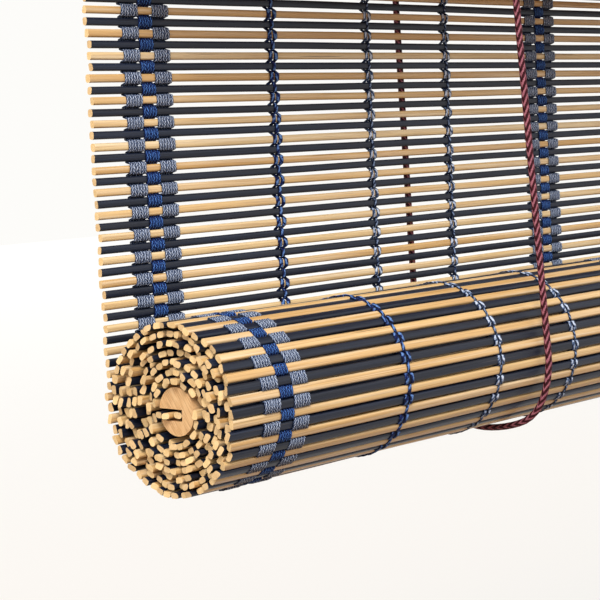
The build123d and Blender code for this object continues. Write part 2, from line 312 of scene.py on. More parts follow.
def point_mesh(name, points, numbers=None, vectors=None, joined=False):
    """A mesh of loose points, or of one line through them, that carries named numbers and vectors."""
    mesh = bpy.data.meshes.new(name)
    edges = [(index, index + 1) for index in range(len(points) - 1)] if joined else []
    mesh.from_pydata([tuple(point) for point in points], edges, [])
    for label, values in (numbers or {}).items():
        mesh.attributes.new(label, "FLOAT", "POINT").data.foreach_set("value", values)
    for label, values in (vectors or {}).items():
        flat = [part for value in values for part in value]
        mesh.attributes.new(label, "FLOAT_VECTOR", "POINT").data.foreach_set("vector", flat)
    return mesh


# Colours and materials
def colour(red, green, blue):
    """A colour given as it looks on screen, from 0 to 255, as the linear one that shaders take."""
    return tuple((part / 255) ** 2.2 for part in (red, green, blue)) + (1.0,)


black = colour(0, 0, 0)
white = colour(255, 255, 255)


def new_material(name, levels):
    """A material whose Principled BSDF has these levels."""
    material = bpy.data.materials.new(name)
    material.use_nodes = True
    shader = material.node_tree.nodes["Principled BSDF"]
    for label, level in levels.items():
        shader.inputs[label].default_value = level
    return material, material.node_tree, shader


def new_group(name, inputs, outputs):
    """A shader node group whose inputs and outputs are named numbers."""
    group = bpy.data.node_groups.new(name, "ShaderNodeTree")
    for way, labels in (("INPUT", inputs), ("OUTPUT", outputs)):
        for label in labels:
            group.interface.new_socket(label, in_out=way, socket_type="NodeSocketFloat")
    return group, group.nodes.new("NodeGroupInput").outputs


def object_place(tree):
    """Where a point is in its object, in a shader."""
    return put(tree, "ShaderNodeTexCoord").outputs["Object"]


def own(tree, label, output="Fac"):
    """What a mesh keeps under a name, in a shader."""
    return put(tree, "ShaderNodeAttribute", {"attribute_name": label}).outputs[output]


def shades(tree, fac, *stops):
    """A colour ramp from (place, colour) stops."""
    ramp = put(tree, "ShaderNodeValToRGB", inputs={"Fac": fac})
    elements = ramp.color_ramp.elements
    while len(elements) < len(stops):
        elements.new(0.5)
    for element, (place, shade) in zip(elements, stops):
        element.position = place
        element.color = shade
    return ramp.outputs["Color"]


def blended(tree, fac, first, second, blend="MIX"):
    """Two colours mixed, by a factor."""
    settings = {"data_type": "RGBA", "blend_type": blend}
    return put(tree, "ShaderNodeMix", settings, {0: fac, 6: first, 7: second}).outputs[2]


def finish_material(material, shader, base, height=None, strength=0.0, depth=0.0002):
    """Gives a material its base colour and, from a height, its bump."""
    tree = material.node_tree
    tree.links.new(base, shader.inputs["Base Color"])
    if height is not None:
        bump = put(tree, "ShaderNodeBump", inputs={"Height": height, "Strength": strength, "Distance": depth})
        tree.links.new(bump.outputs["Normal"], shader.inputs["Normal"])
    return material


def make_grain_group():
    """Plant fibre that runs along X: long streaks, fine lines and a few dark specks."""
    group, given = new_group("grain_along", ("Along", "Across", "Shift"), ("Streak", "Fibre", "Speck"))
    sizes = combine(group, given["Along"], given["Across"], given["Across"])
    stretched = compute_vector(group, "MULTIPLY", object_place(group), sizes)
    made = {
        label: noise(group, stretched, scale, detail, given["Shift"])["Fac"]
        for label, scale, detail in (("Streak", 1.0, 2.0), ("Fibre", 3.5, 3.0), ("Speck", 1.7, 1.0))
    }
    made["Speck"] = mapped(group, made["Speck"], low=0.70, high=0.76)
    put(group, "NodeGroupOutput", inputs=made)
    return group


def make_strand_group():
    """Ridges of twisted or braided fibre, from how far along a strand and where round it a point is."""
    group, given = new_group("strand_lay", ("Pitch", "Plies", "Braided"), ("Ridge", "Fuzz", "Edge shade"))
    place = object_place(group)
    sides = separate(group, own(group, "ring", "Vector"))
    bare = compute(group, "ARCTAN2", sides[1], sides[0])
    angle = compute(group, "MULTIPLY", bare, given["Plies"])
    run = compute(group, "MULTIPLY", own(group, "along"), 2 * math.pi)
    run = compute(group, "DIVIDE", run, given["Pitch"])
    drift = noise(group, place, scale=520.0, detail=2.0)["Fac"]
    loose = mapped(group, given["Braided"], to_low=9.0, to_high=1.5)
    run = compute(group, "ADD", run, compute(group, "MULTIPLY", drift, loose))
    turned = compute(group, "MULTIPLY", run, own(group, "twist"))
    one_way = compute(group, "SINE", compute(group, "ADD", turned, angle))
    folded = compute(group, "ARCCOSINE", compute(group, "COSINE", compute(group, "MULTIPLY", bare, 2.0)))
    leaning = compute(group, "MULTIPLY", folded, compute(group, "MULTIPLY", given["Plies"], 0.5))
    herringbone = compute(group, "SINE", compute(group, "ADD", turned, leaning))
    chosen = put(group, "ShaderNodeMix", inputs={0: given["Braided"], 2: one_way, 3: herringbone}).outputs[0]
    outputs = {
        "Ridge": mapped(group, chosen, low=-1.0),
        "Fuzz": noise(group, place, scale=2600.0, detail=2.0)["Fac"],
        # Edge shade: how near a strand's flat side a point lies, used only to paint shade between strands.
        "Edge shade": compute(group, "POWER", compute(group, "ABSOLUTE", sides[0]), 3.0),
    }
    put(group, "NodeGroupOutput", inputs=outputs)
    return group


grain_group = make_grain_group()
strand_group = make_strand_group()


def grain_of(tree, along, across):
    """The grain group in a material, shifted from reed to reed by the piece's own seed."""
    inputs = {"Along": along, "Across": across, "Shift": own(tree, "seed")}
    return put(tree, "ShaderNodeGroup", {"node_tree": grain_group}, inputs).outputs


def make_natural_bamboo():
    """Honey coloured split bamboo with brown fibres, pale creamy streaks that are partly a painted highlight,
    and a few dark nicks.
    """
    levels = {"Roughness": 0.45, "Specular IOR Level": 0.75}
    material, tree, shader = new_material("natural_bamboo", levels)
    grain = grain_of(tree, along=9.0, across=700.0)
    base = shades(
        tree,
        own(tree, "tone"),
        (0.0, colour(202, 154, 92)),
        (0.5, colour(226, 183, 120)),
        (1.0, colour(241, 211, 158)),
    )
    # Pale streaks along the grain: partly the bamboo's own pale fibre, partly a painted highlight whose
    # whitish colour stands in for the reeds' sheen.
    pale = shades(tree, grain["Streak"], (0.45, black), (0.75, white))
    base = blended(tree, compute(tree, "MULTIPLY", pale, 0.65), base, colour(250, 232, 202))
    fibre = shades(tree, grain["Fibre"], (0.30, colour(190, 160, 122)), (0.52, white))
    base = blended(tree, 0.55, base, fibre, "MULTIPLY")
    base = blended(tree, compute(tree, "MULTIPLY", grain["Speck"], 0.7), base, colour(112, 72, 38))
    return finish_material(material, shader, base, grain["Fibre"], strength=0.35)


def make_dark_bamboo():
    """Charcoal stained bamboo: bluish, with a slight sheen, and worn paler on some fibres."""
    levels = {"Roughness": 0.40, "Specular IOR Level": 0.3}
    material, tree, shader = new_material("dark_bamboo", levels)
    grain = grain_of(tree, along=9.0, across=1000.0)
    base = shades(
        tree,
        own(tree, "tone"),
        (0.0, colour(34, 37, 48)),
        (0.5, colour(30, 39, 58)),
        (1.0, colour(42, 53, 78)),
    )
    fibre = shades(tree, grain["Fibre"], (0.38, colour(150, 150, 150)), (0.62, white))
    base = blended(tree, 0.8, base, fibre, "MULTIPLY")
    base = blended(tree, compute(tree, "MULTIPLY", grain["Speck"], 0.30), base, colour(104, 98, 98))
    return finish_material(material, shader, base, grain["Fibre"], strength=0.5)


def make_cut_end(name, pale, deep):
    """A sawn end: pale pith with darker pores."""
    material, tree, shader = new_material(name, {"Roughness": 0.75})
    place = object_place(tree)
    pores = put(tree, "ShaderNodeTexVoronoi", inputs={"Vector": place, "Scale": 2300.0}).outputs["Distance"]
    base = blended(tree, noise(tree, place, scale=420.0, detail=3.0)["Fac"], pale, deep)
    dots = shades(tree, pores, (0.10, colour(150, 118, 88)), (0.32, white))
    base = blended(tree, 0.5, base, dots, "MULTIPLY")
    return finish_material(material, shader, base, pores, strength=0.4)


def make_yarn(name, deep, middle, bright, lay, crest_light_gap_shade=0.0, edge_shade=0.0):
    """A yarn or cord: fuzzy fibre whose ridges and crests over reeds are painted lighter as a painted
    highlight, with painted shade in its grooves, where it dips between reeds and along its sides.
    """
    material, tree, shader = new_material(name, {"Roughness": 0.7, "Specular IOR Level": 0.2})
    strand = put(tree, "ShaderNodeGroup", {"node_tree": strand_group}, lay).outputs
    ridge = compute(tree, "MULTIPLY", strand["Ridge"], 0.55)
    mixed = compute(tree, "ADD", ridge, compute(tree, "MULTIPLY", strand["Fuzz"], 0.9))
    # Painted highlight and shade: lighter where the yarn crests over a reed, much darker where it dips
    # between reeds.
    height = compute(tree, "SUBTRACT", compute(tree, "ABSOLUTE", own(tree, "weave")), 0.75)
    mixed = compute(tree, "ADD", mixed, compute(tree, "MULTIPLY", height, crest_light_gap_shade))
    # Painted shade along each strand's flat sides, darkening the gaps between neighbouring strands.
    mixed = compute(tree, "SUBTRACT", mixed, compute(tree, "MULTIPLY", strand["Edge shade"], edge_shade))
    # The ramp paints ridges lighter as a painted highlight and grooves darker as painted shade.
    base = shades(tree, mixed, (0.45, deep), (0.72, middle), (1.0, bright))
    return finish_material(material, shader, base, strand["Ridge"], strength=0.8, depth=0.0003)


def make_board_wood():
    """Planed softwood that runs along X."""
    material, tree, shader = new_material("board_wood", {"Roughness": 0.55})
    grain = grain_of(tree, along=2.5, across=90.0)
    base = shades(
        tree,
        grain["Streak"],
        (0.30, colour(186, 142, 92)),
        (0.52, colour(214, 174, 122)),
        (0.70, colour(226, 190, 142)),
    )
    fibre = shades(tree, grain["Fibre"], (0.35, colour(206, 188, 164)), (0.6, white))
    base = blended(tree, 0.6, base, fibre, "MULTIPLY")
    return finish_material(material, shader, base, grain["Fibre"], strength=0.25, depth=0.0003)


def make_pull_wood():
    """Turned and varnished wood with its grain upright."""
    levels = {"Roughness": 0.35, "Coat Weight": 0.4, "Coat Roughness": 0.15}
    material, tree, shader = new_material("pull_wood", levels)
    upright = compute_vector(tree, "MULTIPLY", object_place(tree), (900.0, 900.0, 60.0))
    fibre = noise(tree, upright, scale=1.0, detail=3.0)["Fac"]
    base = shades(
        tree,
        fibre,
        (0.35, colour(150, 98, 54)),
        (0.55, colour(188, 134, 80)),
        (0.75, colour(206, 156, 100)),
    )
    return finish_material(material, shader, base, fibre, strength=0.15)


def make_steel(name, dull, bright, roughness):
    """Bright zinc or plain steel, a little uneven in its polish."""
    material, tree, shader = new_material(name, {"Roughness": roughness, "Metallic": 1.0})
    cloud = noise(tree, object_place(tree), scale=320.0, detail=4.0)["Fac"]
    polish = mapped(tree, cloud, to_low=roughness - 0.08, to_high=roughness + 0.12)
    tree.links.new(polish, shader.inputs["Roughness"])
    return finish_material(material, shader, blended(tree, cloud, dull, bright))


def make_nylon():
    """Moulded nylon, slightly cloudy."""
    material, tree, shader = new_material("wheel_nylon", {"Roughness": 0.38})
    cloud = noise(tree, object_place(tree), scale=180.0, detail=2.0)["Fac"]
    base = blended(tree, cloud, colour(226, 222, 210), colour(240, 238, 230))
    return finish_material(material, shader, base)


def make_core_wood():
    """A planed dowel: grain along its sides, and a cloudy tone and saw marks across its ends."""
    material, tree, shader = new_material("core_wood", {"Roughness": 0.7})
    grain = grain_of(tree, along=6.0, across=260.0)
    side = shades(tree, grain["Streak"], (0.35, colour(196, 148, 98)), (0.60, colour(224, 182, 132)))
    place = object_place(tree)
    saw_slant = (math.radians(-55), 0, 0)
    slanted = put(tree, "ShaderNodeMapping", inputs={"Vector": place, "Rotation": saw_slant}).outputs[0]
    stretched = compute_vector(tree, "MULTIPLY", slanted, (150, 160, 4200))
    marks = noise(tree, stretched, scale=1.0, detail=2.0)["Fac"]
    cloud = noise(tree, place, scale=260.0, detail=2.0)["Fac"]
    face = blended(tree, cloud, colour(246, 208, 158), colour(226, 178, 122))
    lines = shades(tree, marks, (0.36, colour(160, 112, 66)), (0.46, colour(236, 218, 196)), (0.62, white))
    face = blended(tree, 0.5, face, lines, "MULTIPLY")
    at_end = at_an_end(tree, put(tree, "ShaderNodeNewGeometry").outputs["True Normal"])
    return finish_material(material, shader, blended(tree, at_end, side, face), marks, strength=0.5)


natural_bamboo = make_natural_bamboo()
dark_bamboo = make_dark_bamboo()
natural_end = make_cut_end("natural_bamboo_end", colour(255, 226, 174), colour(236, 190, 124))
dark_end = make_cut_end("dark_bamboo_end", colour(250, 218, 166), colour(206, 166, 114))
band_lay = {"Pitch": 0.0015, "Plies": 5.0}
line_lay = {"Pitch": 0.0040, "Plies": 2.0}
thin_line_lay = {"Pitch": 0.0026, "Plies": 2.0}
cord_lay = {"Pitch": 0.0044, "Plies": 4.0, "Braided": 1.0}
# Each yarn's three colours: painted shade for grooves and gaps, its own colour, and a painted highlight for
# ridges.
grey_shades = (colour(24, 34, 60), colour(98, 116, 152), colour(202, 214, 236))
slate_shades = (colour(14, 26, 52), colour(96, 118, 158), colour(214, 226, 248))
thin_slate_shades = (colour(8, 16, 36), colour(44, 60, 92), colour(136, 156, 192))
blue_shades = (colour(2, 12, 44), colour(10, 47, 120), colour(86, 134, 206))
navy_shades = (colour(2, 9, 34), colour(10, 36, 100), colour(104, 142, 204))
burgundy_shades = (colour(38, 9, 18), colour(82, 26, 38), colour(178, 112, 126))
grey_yarn = make_yarn("grey_yarn", *grey_shades, band_lay, crest_light_gap_shade=0.30, edge_shade=0.60)
slate_yarn = make_yarn("slate_yarn", *slate_shades, line_lay, crest_light_gap_shade=0.55, edge_shade=0.45)
thin_slate_yarn = make_yarn("thin_slate_yarn", *thin_slate_shades, thin_line_lay, crest_light_gap_shade=0.3, edge_shade=0.45)
blue_yarn = make_yarn("blue_yarn", *blue_shades, band_lay, crest_light_gap_shade=0.30, edge_shade=0.55)
navy_yarn = make_yarn("navy_yarn", *navy_shades, line_lay, crest_light_gap_shade=0.45, edge_shade=0.50)
burgundy_cord = make_yarn("burgundy_cord", *burgundy_shades, cord_lay)
board_wood = make_board_wood()
core_wood = make_core_wood()
pull_wood = make_pull_wood()
zinc = make_steel("zinc_steel", (0.24, 0.25, 0.26, 1.0), (0.40, 0.41, 0.42, 1.0), 0.36)
wire = make_steel("staple_steel", (0.24, 0.24, 0.25, 1.0), (0.38, 0.38, 0.39, 1.0), 0.30)
nylon = make_nylon()


# Reeds, as points that the tree puts bars on
def spiral_reed(run):
    """Place and heading of the reed this far along the winding, from the rear tangent inwards."""
    inner = roll_radius**2 - layer_pitch * run / math.pi
    turn = 2 * math.pi / layer_pitch * (roll_radius - math.sqrt(inner))
    radius = roll_radius - layer_pitch * turn / (2 * math.pi)
    share = turn / roll_angle
    y = roll_y - core_forward * share + radius * math.cos(turn)
    z = roll_z - core_drop * share - radius * math.sin(turn)
    return Vector((0, y, z)), Vector((0, -math.sin(turn), -math.cos(turn)))


def rolled_stations():
    """Every reed of the roll: round and round to the core, then straight into its slot."""
    whole_run = roll_radius * roll_angle - layer_pitch * roll_angle**2 / (4 * math.pi)
    steps = round(whole_run / rolled_pitch - 0.5)
    even_pitch = whole_run / (steps + 0.5)
    stations = [spiral_reed((step + 0.5) * even_pitch) for step in range(steps + 1)]
    for reed in range(slot_reeds):
        y = core_y + core_radius - slot_entry_inset - reed * rolled_pitch
        stations.append((Vector((0, y, slot_z)), Vector((0, -1, 0))))
    return stations


hanging = [
    (Vector((0, mat_y, roll_z + (row + 0.5) * reed_pitch)), Vector((0, 0, -1)))
    for row in reversed(range(hanging_reeds))
]
stations = hanging + rolled_stations()
top_reed_is_natural = hanging_reeds % 2 == 1


def is_natural(index):
    """Natural and dark reeds take turns all the way down the mat and into the roll."""
    return (index % 2 == 0) == top_reed_is_natural


def front_of(heading):
    """The way a reed's front face looks."""
    return Vector((0, heading.z, -heading.y))


def make_reed_tree():
    """Puts a rounded bar on each point, turned and sized as the point says, and slightly bowed."""
    inputs = {
        "Width": "Float",
        "Thickness": "Float",
        "Corner": "Float",
        "Corner steps": "Int",
        "Pieces": "Int",
        "Bow": "Float",
        "End slant": "Float",
        "Skin": "Material",
        "Cut end": "Material",
    }
    tree, given = new_tree("reeds", inputs)
    line = put(tree, "GeometryNodeCurvePrimitiveLine", inputs={"Start": (0, 0, 0), "End": (1, 0, 0)})
    pieces = shaped(tree, "ResampleCurve", line.outputs[0], {"Count": given["Pieces"]})
    upright = shaped(tree, "SetCurveNormal", pieces, {"Normal": (0, 0, 1)}, {"mode": "FREE"})
    section = put(
        tree,
        "GeometryNodeCurvePrimitiveQuadrilateral",
        inputs={"Width": given["Width"], "Height": given["Thickness"]},
    )
    corners = {"Count": given["Corner steps"], "Radius": given["Corner"]}
    rounded = shaped(tree, "FilletCurve", section.outputs[0], corners, {"mode": "POLY"})
    bar = shaped(tree, "CurveToMesh", upright, {"Profile Curve": rounded, "Fill Caps": True})
    from_middle = compute(tree, "SUBTRACT", separate(tree, position(tree))[0], 0.5)
    tip = compute(tree, "GREATER_THAN", compute(tree, "ABSOLUTE", from_middle), 0.499)
    instance = {
        "Instance": stored(tree, bar, "tip", tip),
        "Rotation": combine(tree, named(tree, "turn")),
        "Scale": named(tree, "size", "FLOAT_VECTOR"),
    }
    placed = shaped(tree, "InstanceOnPoints", given["Geometry"], instance)
    real = shaped(tree, "RealizeInstances", placed)
    place = position(tree)
    along = compute_vector(tree, "MULTIPLY", place, (1, 0, 0))
    wave = noise(tree, along, scale=7.0, detail=1.0, seed=named(tree, "seed"))["Color"]
    centred = compute_vector(tree, "SUBTRACT", wave, (0.5, 0.5, 0.5))
    bow = compute_vector(tree, "MULTIPLY", centred, combine(tree, 0.0, given["Bow"], given["Bow"]))
    slanted = compute(tree, "SUBTRACT", noise(tree, place, scale=240.0, detail=0.0)["Fac"], 0.5)
    slant = compute(tree, "MULTIPLY", slanted, given["End slant"])
    shift = combine(tree, compute(tree, "MULTIPLY", slant, named(tree, "tip")))
    bent = shaped(tree, "SetPosition", real, {"Offset": compute_vector(tree, "ADD", bow, shift)})
    at_end = at_an_end(tree, put(tree, "GeometryNodeInputNormal").outputs[0])
    smooth = shaped(tree, "SetShadeSmooth", bent, {"Shade Smooth": True})
    flat_ends = shaped(tree, "SetShadeSmooth", smooth, {"Selection": at_end, "Shade Smooth": False})
    skinned = shaped(tree, "SetMaterial", flat_ends, {"Material": given["Skin"]})
    ended = shaped(tree, "SetMaterial", skinned, {"Selection": at_end, "Material": given["Cut end"]})
    return finish_tree(tree, ended)


def reeds(name, indexes, width, stagger, slant, pieces, skin, cut_end):
    """One piece of like reeds, at these places down the mat."""
    numbers = {"turn": [], "tone": [], "seed": []}
    sizes = []
    places = []
    for index in indexes:
        centre, heading = stations[index]
        start = left_end + stagger * chance.random() ** stagger_power
        end = right_end - stagger * chance.random() ** stagger_power
        places.append((start, centre.y, centre.z))
        tilt = chance.gauss(0.0, reed_tilt)
        numbers["turn"].append(math.atan2(heading.z, heading.y) + math.pi / 2 + tilt)
        numbers["tone"].append(min(1.0, max(0.0, chance.gauss(0.5, tone_spread))))
        numbers["seed"].append(chance.uniform(0, seed_range))
        wide = 1 + chance.uniform(-size_spread, size_spread)
        thick = 1 + chance.uniform(-size_spread, size_spread)
        sizes.append((end - start, wide, thick))
    start_mesh = point_mesh(name + "_points", places, numbers, {"size": sizes})
    values = {
        "Width": width,
        "Thickness": reed_thickness,
        "Corner": reed_corner,
        "Corner steps": corner_steps,
        "Pieces": pieces,
        "Bow": reed_bow,
        "End slant": slant,
        "Skin": skin,
        "Cut end": cut_end,
    }
    return grow(name, reed_tree, start_mesh, values)


reed_tree = make_reed_tree()
first_rolled = len(hanging)
first_inner = first_rolled + woven_turn_reeds
outer = range(first_rolled, first_inner)
inner = range(first_inner, len(stations))

# For each stretch of the mat: its reeds, their width, stagger and slant, and how many pieces bend
stretches = (
    ("hanging", range(first_rolled), reed_width, hanging_stagger, hanging_slant, hanging_pieces),
    ("outer_turn", outer, rolled_reed_width, outer_stagger, rolled_slant, outer_pieces),
    ("inner_turns", inner, rolled_reed_width, inner_stagger, rolled_slant, inner_pieces),
)
for place, indexes, width, stagger, slant, pieces in stretches:
    for kind, wanted, skin, cut_end in (
        ("natural", True, natural_bamboo, natural_end),
        ("dark", False, dark_bamboo, dark_end),
    ):
        chosen = [index for index in indexes if is_natural(index) == wanted]
        piece = reeds(f"{place}_{kind}_reeds", chosen, width, stagger, slant, pieces, skin, cut_end)
        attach(piece, "root")
        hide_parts("hanging_mat" if place == "hanging" else "rolled_mat")


# Yarns, woven over one reed and under the next
def weave_line(shoulder):
    """The line that a strand follows down the mat and round the outer turn, seen from the end."""
    points = []
    outwards = []
    weave = []
    woven = stations[: first_rolled + woven_turn_reeds]
    for index, (centre, heading) in enumerate(woven):
        front = front_of(heading)
        over = 1.0 if is_natural(index) else -1.0
        reach = shoulder if index < first_rolled else shoulder + rolled_extra_reach
        for step, lift in ((-reach, yarn_shoulder_lift), (0, 1), (reach, yarn_shoulder_lift)):
            points.append(centre + heading * step)
            outwards.append(front)
            weave.append(over * lift)
        if index + 1 < len(woven):
            points.append((centre + woven[index + 1][0]) / 2)
            outwards.append(front)
            weave.append(0.0)
    mesh = point_mesh("weave_line", points, {"weave": weave}, {"outwards": outwards}, joined=True)
    return new_object("weave_line", mesh)


def make_yarn_tree():
    """Lays the weave line beside itself at each point, as flattened strands."""
    inputs = {
        "Line": "Object",
        "Side": "Float",
        "Lift": "Float",
        "Width": "Float",
        "Height": "Float",
        "Sides": "Int",
        "Yarn": "Material",
    }
    tree, given = new_tree("yarns", inputs)
    line = put(tree, "GeometryNodeObjectInfo", inputs={"Object": given["Line"]}).outputs["Geometry"]
    curve = shaped(tree, "MeshToCurve", line)
    reach = compute(tree, "MULTIPLY", given["Side"], given["Lift"])
    lift = compute(tree, "MULTIPLY", named(tree, "weave"), reach)
    offset = put(
        tree,
        "ShaderNodeVectorMath",
        {"operation": "SCALE"},
        {0: named(tree, "outwards", "FLOAT_VECTOR"), "Scale": lift},
    )
    woven = shaped(tree, "SetPosition", curve, {"Offset": offset.outputs[0]})
    flat = shaped(tree, "SetCurveNormal", woven, {"Normal": (1, 0, 0)}, {"mode": "FREE"})
    half_width = compute(tree, "MULTIPLY", given["Width"], 0.5)
    half_height = compute(tree, "MULTIPLY", given["Height"], 0.5)
    squash = combine(tree, half_width, half_height, 1.0)
    section = shaped(tree, "Transform", ring_section(tree, given["Sides"], 1.0), {"Scale": squash})
    strand = shaped(tree, "CurveToMesh", measured(tree, flat), {"Profile Curve": section, "Fill Caps": True})
    placed = shaped(tree, "InstanceOnPoints", given["Geometry"], {"Instance": strand})
    real = shaped(tree, "RealizeInstances", placed)
    wander = noise(tree, position(tree), scale=260.0, detail=1.0)["Color"]
    centred = compute_vector(tree, "SUBTRACT", wander, (0.5, 0.5, 0.5))
    uneven = compute_vector(tree, "MULTIPLY", centred, yarn_wander)
    laid = shaped(tree, "SetPosition", real, {"Offset": uneven})
    smooth = shaped(tree, "SetShadeSmooth", laid, {"Shade Smooth": True})
    return finish_tree(tree, shaped(tree, "SetMaterial", smooth, {"Material": given["Yarn"]}))


yarn_tree = make_yarn_tree()


def yarns(name, places, side, shoulder, width, yarn):
    """One piece of like strands at these places, twisted one way and the other in turn."""
    guide = weave_line(shoulder)
    values = {
        "Line": guide,
        "Side": side,
        "Lift": yarn_lift,
        "Width": width,
        "Height": yarn_height,
        "Sides": yarn_sides,
        "Yarn": yarn,
    }
    twists = {"twist": [1.0 if number % 2 else -1.0 for number in range(len(places))]}
    start = point_mesh(name + "_places", [(place, 0, 0) for place in places], twists)
    piece = grow(name, yarn_tree, start, values)
    bpy.data.objects.remove(guide)
    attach(piece, "root")
    return piece


def strands_about(centre, count, spacing):
    """Evenly spaced strands about a centre."""
    return [centre + (index - (count - 1) / 2) * spacing for index in range(count)]


whole_band = 2 * edge_strands + middle_strands
band_middles = []
band_edges = []
for centre in (left_end + band_inset, 0.0, right_end - band_inset):
    band_middles += strands_about(centre, middle_strands, yarn_spacing)
    band = strands_about(centre, whole_band, yarn_spacing)
    band_edges += band[:edge_strands] + band[edge_strands + middle_strands :]
blue_lines = (left_end + blue_line_inset, right_end - blue_line_inset)
grey_lines = [left_end + inset for inset in grey_line_insets]
grey_lines += [right_end - inset for inset in grey_line_insets]
blue_pairs = [place for line in blue_lines for place in (line - blue_spread, line + blue_spread)]
grey_pairs = [place for line in grey_lines for place in (line - grey_spread, line + grey_spread)]
yarns("band_edge_yarns", band_edges, 1.0, edge_shoulder, yarn_width, grey_yarn)
yarns("band_middle_yarns", band_middles, -1.0, middle_shoulder, yarn_width, blue_yarn)
yarns("blue_line_pairs", blue_pairs, 1.0, line_shoulder, blue_line_width, navy_yarn)
yarns("blue_line_middles", blue_lines, -1.0, line_shoulder, blue_middle_width, navy_yarn)
yarns("grey_line_pairs", grey_pairs, 1.0, line_shoulder, grey_line_width, slate_yarn)
yarns("grey_line_middles", grey_lines, -1.0, line_shoulder, grey_middle_width, thin_slate_yarn)


# Lift cords: the route of the solids, with more points beside each tight corner of a long run
left_route = [
    (-0.1089, 0.0446, -0.0074),
    (-0.1032, 0.0446, -0.1912),
    (-0.1026, 0.0446, -0.2112),
    (-0.1024, 0.0343, -0.2283),
    (-0.1023, 0.0169, -0.2380),
    (-0.1023, -0.0029, -0.2378),
    (-0.1024, -0.0223, -0.2316),
    (-0.1028, -0.0310, -0.2123),
    (-0.1034, -0.0301, -0.1911),
    (-0.1079, -0.0236, -0.0422),
    (-0.1085, -0.0230, -0.0242),
    (-0.0905, -0.0230, -0.0242),
    (0.2548, -0.0230, -0.0242),
    (0.2728, -0.0230, -0.0242),
    (0.2728, -0.0230, -0.0380),
]
right_route = [
    (0.1050, 0.0446, -0.0074),
    (0.1055, 0.0446, -0.1912),
    (0.1056, 0.0446, -0.2112),
    (0.1058, 0.0343, -0.2283),
    (0.1059, 0.0169, -0.2380),
    (0.1059, -0.0029, -0.2378),
    (0.1058, -0.0223, -0.2316),
    (0.1055, -0.0330, -0.2125),
    (0.1054, -0.0326, -0.1908),
    (0.1050, -0.0295, -0.0422),
    (0.1050, -0.0295, -0.0242),
    (0.1230, -0.0295, -0.0242),
    (0.1888, -0.0295, -0.0242),
    (0.2068, -0.0295, -0.0242),
    (0.2068, -0.0295, -0.0422),
]


def coil_points(side):
    """The put-away length: in from the back, out through the middle and in again at the front."""
    low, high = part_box(f"{side}_cord_coil")
    tail_low, tail_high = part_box(f"{side}_cord_tail")
    centre = (low + high) / 2
    outer_row = coil_inner_row + (coil_rows - 1) * cord_diameter
    points = [
        Vector((centre.x + 0.004, centre.y + 0.0008, high.z + 0.0052)),
        Vector((centre.x + 0.0135, centre.y + 0.0024, high.z - 0.0016)),
    ]
    for layer, inwards in ((1, True), (0, False), (-1, True)):
        for number in range(coil_rows * points_a_turn):
            share = number / points_a_turn
            row = min(share if inwards else coil_rows - share, coil_rows - 1)
            angle = 2 * math.pi * (share + coil_entry_turn)
            radius = outer_row - row * cord_diameter
            y = centre.y + layer * cord_diameter
            points.append(centre + Vector((radius * math.sin(angle), y - centre.y, radius * math.cos(angle))))
    tail_x = (tail_low.x + tail_high.x) / 2
    tail_y = (tail_low.y + tail_high.y) / 2
    points += [
        Vector((centre.x + 0.0100, tail_y + 0.0012, centre.z - 0.0030)),
        Vector((centre.x + 0.0075, tail_y, centre.z - 0.0120)),
        Vector((tail_x + 0.0020, tail_y, centre.z - 0.0240)),
        Vector((tail_x, tail_y, tail_low.z + 0.0060)),
        Vector((tail_x, tail_y, tail_low.z)),
    ]
    return points


def smooth_line(name, points):
    """The line of one NURBS spline with these control points, as a list of places."""
    curve = bpy.data.curves.new(name, "CURVE")
    curve.dimensions = "3D"
    spline = curve.splines.new("NURBS")
    spline.points.add(len(points) - 1)
    for point, place in zip(spline.points, points):
        point.co = (*place, 1.0)
    spline.order_u = 3
    spline.use_endpoint_u = True
    spline.resolution_u = 5
    guide = new_object(name, curve)
    graph = bpy.context.evaluated_depsgraph_get()
    mesh = bpy.data.meshes.new_from_object(guide.evaluated_get(graph), depsgraph=graph)
    line = [vertex.co.copy() for vertex in mesh.vertices]
    bpy.data.objects.remove(guide)
    bpy.data.meshes.remove(mesh)
    return line


def make_rope_tree():
    """A round rope along the start line."""
    tree, given = new_tree("rope", {"Diameter": "Float", "Sides": "Int", "Rope": "Material"})
    curve = shaped(tree, "MeshToCurve", given["Geometry"])
    radius = compute(tree, "MULTIPLY", given["Diameter"], 0.5)
    section = ring_section(tree, given["Sides"], radius)
    rope = shaped(tree, "CurveToMesh", measured(tree, curve), {"Profile Curve": section, "Fill Caps": True})
    smooth = shaped(tree, "SetShadeSmooth", rope, {"Shade Smooth": True})
    real = shaped(tree, "RealizeInstances", smooth)
    return finish_tree(tree, shaped(tree, "SetMaterial", real, {"Material": given["Rope"]}))


rope_tree = make_rope_tree()


def rope(name, lines, diameter, sides, material):
    """One rope piece along one or more lines of places."""
    points = [place for line in lines for place in line]
    start = point_mesh(name + "_line", points, {"twist": [1.0] * len(points)})
    joints = set()
    for line in lines:
        joints.add(len(line) + max(joints, default=0))
    pairs = [(index, index + 1) for index in range(len(points) - 1) if index + 1 not in joints]
    start.edges.add(len(pairs))
    start.edges.foreach_set("vertices", [end for pair in pairs for end in pair])
    piece = grow(name, rope_tree, start, {"Diameter": diameter, "Sides": sides, "Rope": material})
    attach(piece, "root")
    return piece


def helix(centre, radius, bottom, top, turns):
    """An upright helix as points."""
    steps = round(helix_points * turns)
    points = []
    for step in range(steps + 1):
        angle = 2 * math.pi * turns * step / steps
        x = centre.x + radius * math.sin(angle)
        y = centre.y - radius * math.cos(angle)
        points.append(Vector((x, y, bottom + (top - bottom) * step / steps)))
    return points


